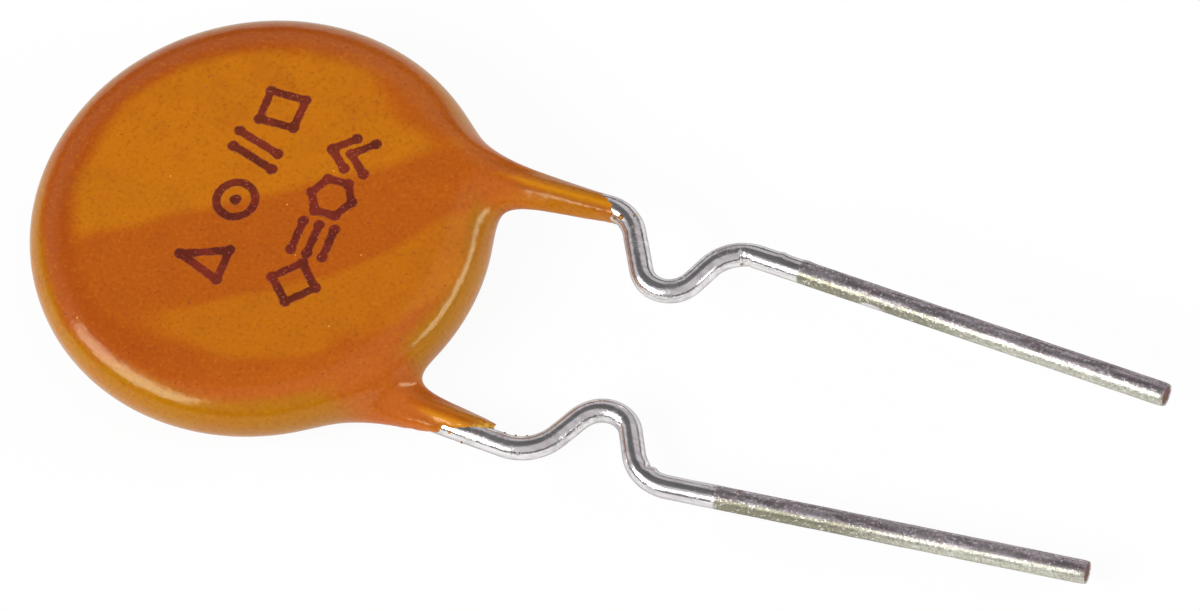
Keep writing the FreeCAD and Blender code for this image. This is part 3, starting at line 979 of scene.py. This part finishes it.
def foil_finish():
    foil, brush, shader, place = new_finish("rolled_nickel", Metallic=1.0)
    x, y, z = brush.split(place)
    lines = brush.noise(brush.join(x * 0.15, y * 5.0, z), 9.0, detail=4.0)
    nodules = brush.noise(place, 40.0, detail=2.0)
    brush.feed(shader, "Base Color", brush.mix(lines, seen(166, 160, 150), seen(206, 200, 190)))
    brush.feed(shader, "Roughness", 0.3 + lines * 0.15 + nodules * 0.1)
    brush.feed(shader, "Normal", brush.bump(lines + nodules * 0.5, 0.004))
    return foil


def solder_finish():
    solder, brush, shader, place = new_finish("set_solder", Metallic=1.0)
    mottle = brush.noise(place, 4.0, detail=4.0)
    brush.feed(shader, "Base Color", brush.mix(mottle, seen(168, 168, 170), seen(214, 214, 216)))
    brush.feed(shader, "Roughness", 0.2 + mottle * 0.2)
    brush.feed(shader, "Normal", brush.bump(mottle, 0.02))
    return solder


def dress(node, finish):
    """Give a piece of the solid model a finish."""
    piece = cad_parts[node]
    for slot in piece.material_slots:
        slot.material = finish
    print(f"{node}: {finish.name}")


FOIL, SOLDER = foil_finish(), solder_finish()
dress("polymer_disc", polymer_finish())
for end in LEADS:
    dress(f"{end}_electrode", FOIL)
    dress(f"{end}_solder", SOLDER)

# %% [markdown]
# ## Pieces and the solid model
#
# The grown wires and the coat stand for their nodes of the solid model, and everything rides on its one body.

# %% Ride and replace

for end, wire in WIRES.items():
    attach(wire, "root")
    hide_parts(f"{end}_lead")
for piece in (COAT, BEAD_PIECE):
    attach(piece, "root")
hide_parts("epoxy_coating")

# %% [markdown]
# ## The studio
#
# A pale floor, a soft sky and three softboxes. The sky is dark overhead, so the glossy epoxy keeps its depth,
# and white at the horizon. The box overhead only fills: gloss and metal don't mirror it. A dark card stands
# all round, far out and unseen by the camera: the wires and the rim of the coat mirror it as the thin dark
# lines that make metal and gloss readable.

# %% Floor, sky and dark card


def stage_mesh(name, corners, faces, material):
    mesh = bpy.data.meshes.new(name)
    mesh.from_pydata(corners, [], faces)
    mesh.materials.append(material)
    thing = hold(name, mesh)
    return thing


PAPER = seen(244, 244, 243)
WHITE = (1.0, 1.0, 1.0, 1.0)
GLOW_SEEN, GLOW_MIRRORED = 0.94, 0.5  # how much of the paper's white is its own, to the camera and in gloss


def floor_paper():
    """White paper that looks white to the camera and in reflections, and still takes a soft shadow."""
    paper = bpy.data.materials.new("floor_paper")
    paper.use_nodes = True
    tree = paper.node_tree
    tree.nodes.clear()
    recipe = Recipe(tree)
    rays = recipe.node("ShaderNodeLightPath")
    glossy, through = recipe.other(rays, 3), recipe.other(rays, 6)
    looked_at = recipe.higher(rays * GLOW_SEEN, glossy * GLOW_MIRRORED, through * GLOW_MIRRORED)
    matt = recipe.node("ShaderNodeBsdfDiffuse", inputs={"Color": PAPER})
    glow = recipe.node("ShaderNodeEmission", inputs={"Color": WHITE, "Strength": 1.0})
    both = recipe.node("ShaderNodeMixShader", inputs={0: looked_at, 1: matt, 2: glow})
    end = tree.nodes.new("ShaderNodeOutputMaterial")
    recipe.feed(end, "Surface", both)
    return paper


HALFWAY, OVERHEAD = (0.54, 0.51, 0.54, 1.0), (0.03, 0.03, 0.03, 1.0)
DARK_SIDE = (-0.33, 0.15, 0.93)  # the middle of the dark part, which takes in what the disc's face mirrors


def sky():
    """White at the horizon, grey halfway up and dark overhead, the same for every ray."""
    world = bpy.data.worlds.new("studio")
    bpy.context.scene.world = world
    world.use_nodes = True
    recipe = Recipe(world.node_tree)
    way = recipe.node("ShaderNodeTexCoord")
    colour = recipe.mix(recipe.fade(recipe.split(way)[2], 0.1, 0.4), WHITE, HALFWAY)
    shaded = recipe.vectors("DOT_PRODUCT", way, DARK_SIDE, out=1)
    colour = recipe.mix(recipe.fade(shaded, 0.84, 0.92), colour, OVERHEAD)
    recipe.feed(world.node_tree.nodes["Background"], "Color", colour)


def dark_card(radius, low, high, sides=48):
    """A low dark wall all round that only reflections see."""
    velvet = new_finish("velvet", Roughness=1.0, Base_Color=seen(46, 44, 46))[0]
    corners = [
        (radius * math.cos(2 * math.pi * i / sides), radius * math.sin(2 * math.pi * i / sides), height)
        for height in (low, high) for i in range(sides)
    ]
    faces = [(i, (i + 1) % sides, sides + (i + 1) % sides, sides + i) for i in range(sides)]
    card = stage_mesh("dark_card", corners, faces, velvet)
    card.visible_camera = card.visible_diffuse = card.visible_shadow = card.visible_transmission = False


FLOOR_REACH = 3.0
floor_corners = [(x * FLOOR_REACH, y * FLOOR_REACH, 0) for x, y in ((-1, -1), (1, -1), (1, 1), (-1, 1))]
stage_mesh("floor", floor_corners, [(0, 1, 2, 3)], floor_paper())
sky()
dark_card(radius=1.0, low=0.03, high=0.36)

# %% Softboxes

LAMPS_AWAY = 0.6


def softbox(name, direction, wide, high, glow, mirrored=True):
    """A lamp that faces the part. Its glow is how bright its face is, where 1 is white paper."""
    lamp = bpy.data.lights.new(name, "AREA")
    lamp.shape, lamp.size, lamp.size_y = "RECTANGLE", wide, high
    lamp.energy = glow * math.pi * wide * high
    thing = hold(name, lamp)
    away = Vector(direction).normalized()
    thing.location = away * LAMPS_AWAY
    thing.rotation_mode = "QUATERNION"
    thing.rotation_quaternion = away.to_track_quat("Z", "Y")
    thing.visible_camera = False
    thing.visible_glossy = mirrored
    share = away.z * wide * high / LAMPS_AWAY ** 2 * glow / math.pi
    print(f"{name} lights the floor to {share:.2f} of white")


softbox("key_box", (-0.55, -0.62, 0.56), wide=0.52, high=0.24, glow=8.0)
softbox("rim_box", (0.90, 0.27, 0.32), wide=0.50, high=0.14, glow=8.0)
softbox("fill_box", (0.05, 0.05, 1.0), wide=0.50, high=0.50, glow=0.45, mirrored=False)

# %% Camera: the photograph's angle, and far enough off to draw parallel edges parallel

AWAY = Vector((0.2868, -0.4368, 0.8526)).normalized()
RIGHT = Vector((0.9247, 0.3588, -0.1273))
RIGHT = (RIGHT - AWAY * RIGHT.dot(AWAY)).normalized()
UP = AWAY.cross(RIGHT)
FRAME_WIDE, FRAME_HIGH, PIXELS_PER_MM = 1200, 611, 47.0
DISC_AT = (262.2, 227.6)
DISTANCE = 400.0
SENSOR = 36

camera_data = bpy.data.cameras.new("camera")
camera = hold("camera", camera_data)
middle = Vector((0, 0, MIDDLE))
middle += RIGHT * ((FRAME_WIDE / 2 - DISC_AT[0]) / PIXELS_PER_MM)
middle -= UP * ((FRAME_HIGH / 2 - DISC_AT[1]) / PIXELS_PER_MM)
camera_data.sensor_width = SENSOR
camera_data.lens = SENSOR * DISTANCE / (FRAME_WIDE / PIXELS_PER_MM)
camera_data.clip_start, camera_data.clip_end = 0.01, 10
turn = Matrix((RIGHT, UP, AWAY)).transposed()
camera.matrix_world = Matrix.Translation((middle + AWAY * DISTANCE) * MM) @ turn.to_4x4()
bpy.context.scene.camera = camera
bpy.context.scene.view_settings.view_transform = "Standard"
print(f"lens {camera_data.lens:.0f} mm")
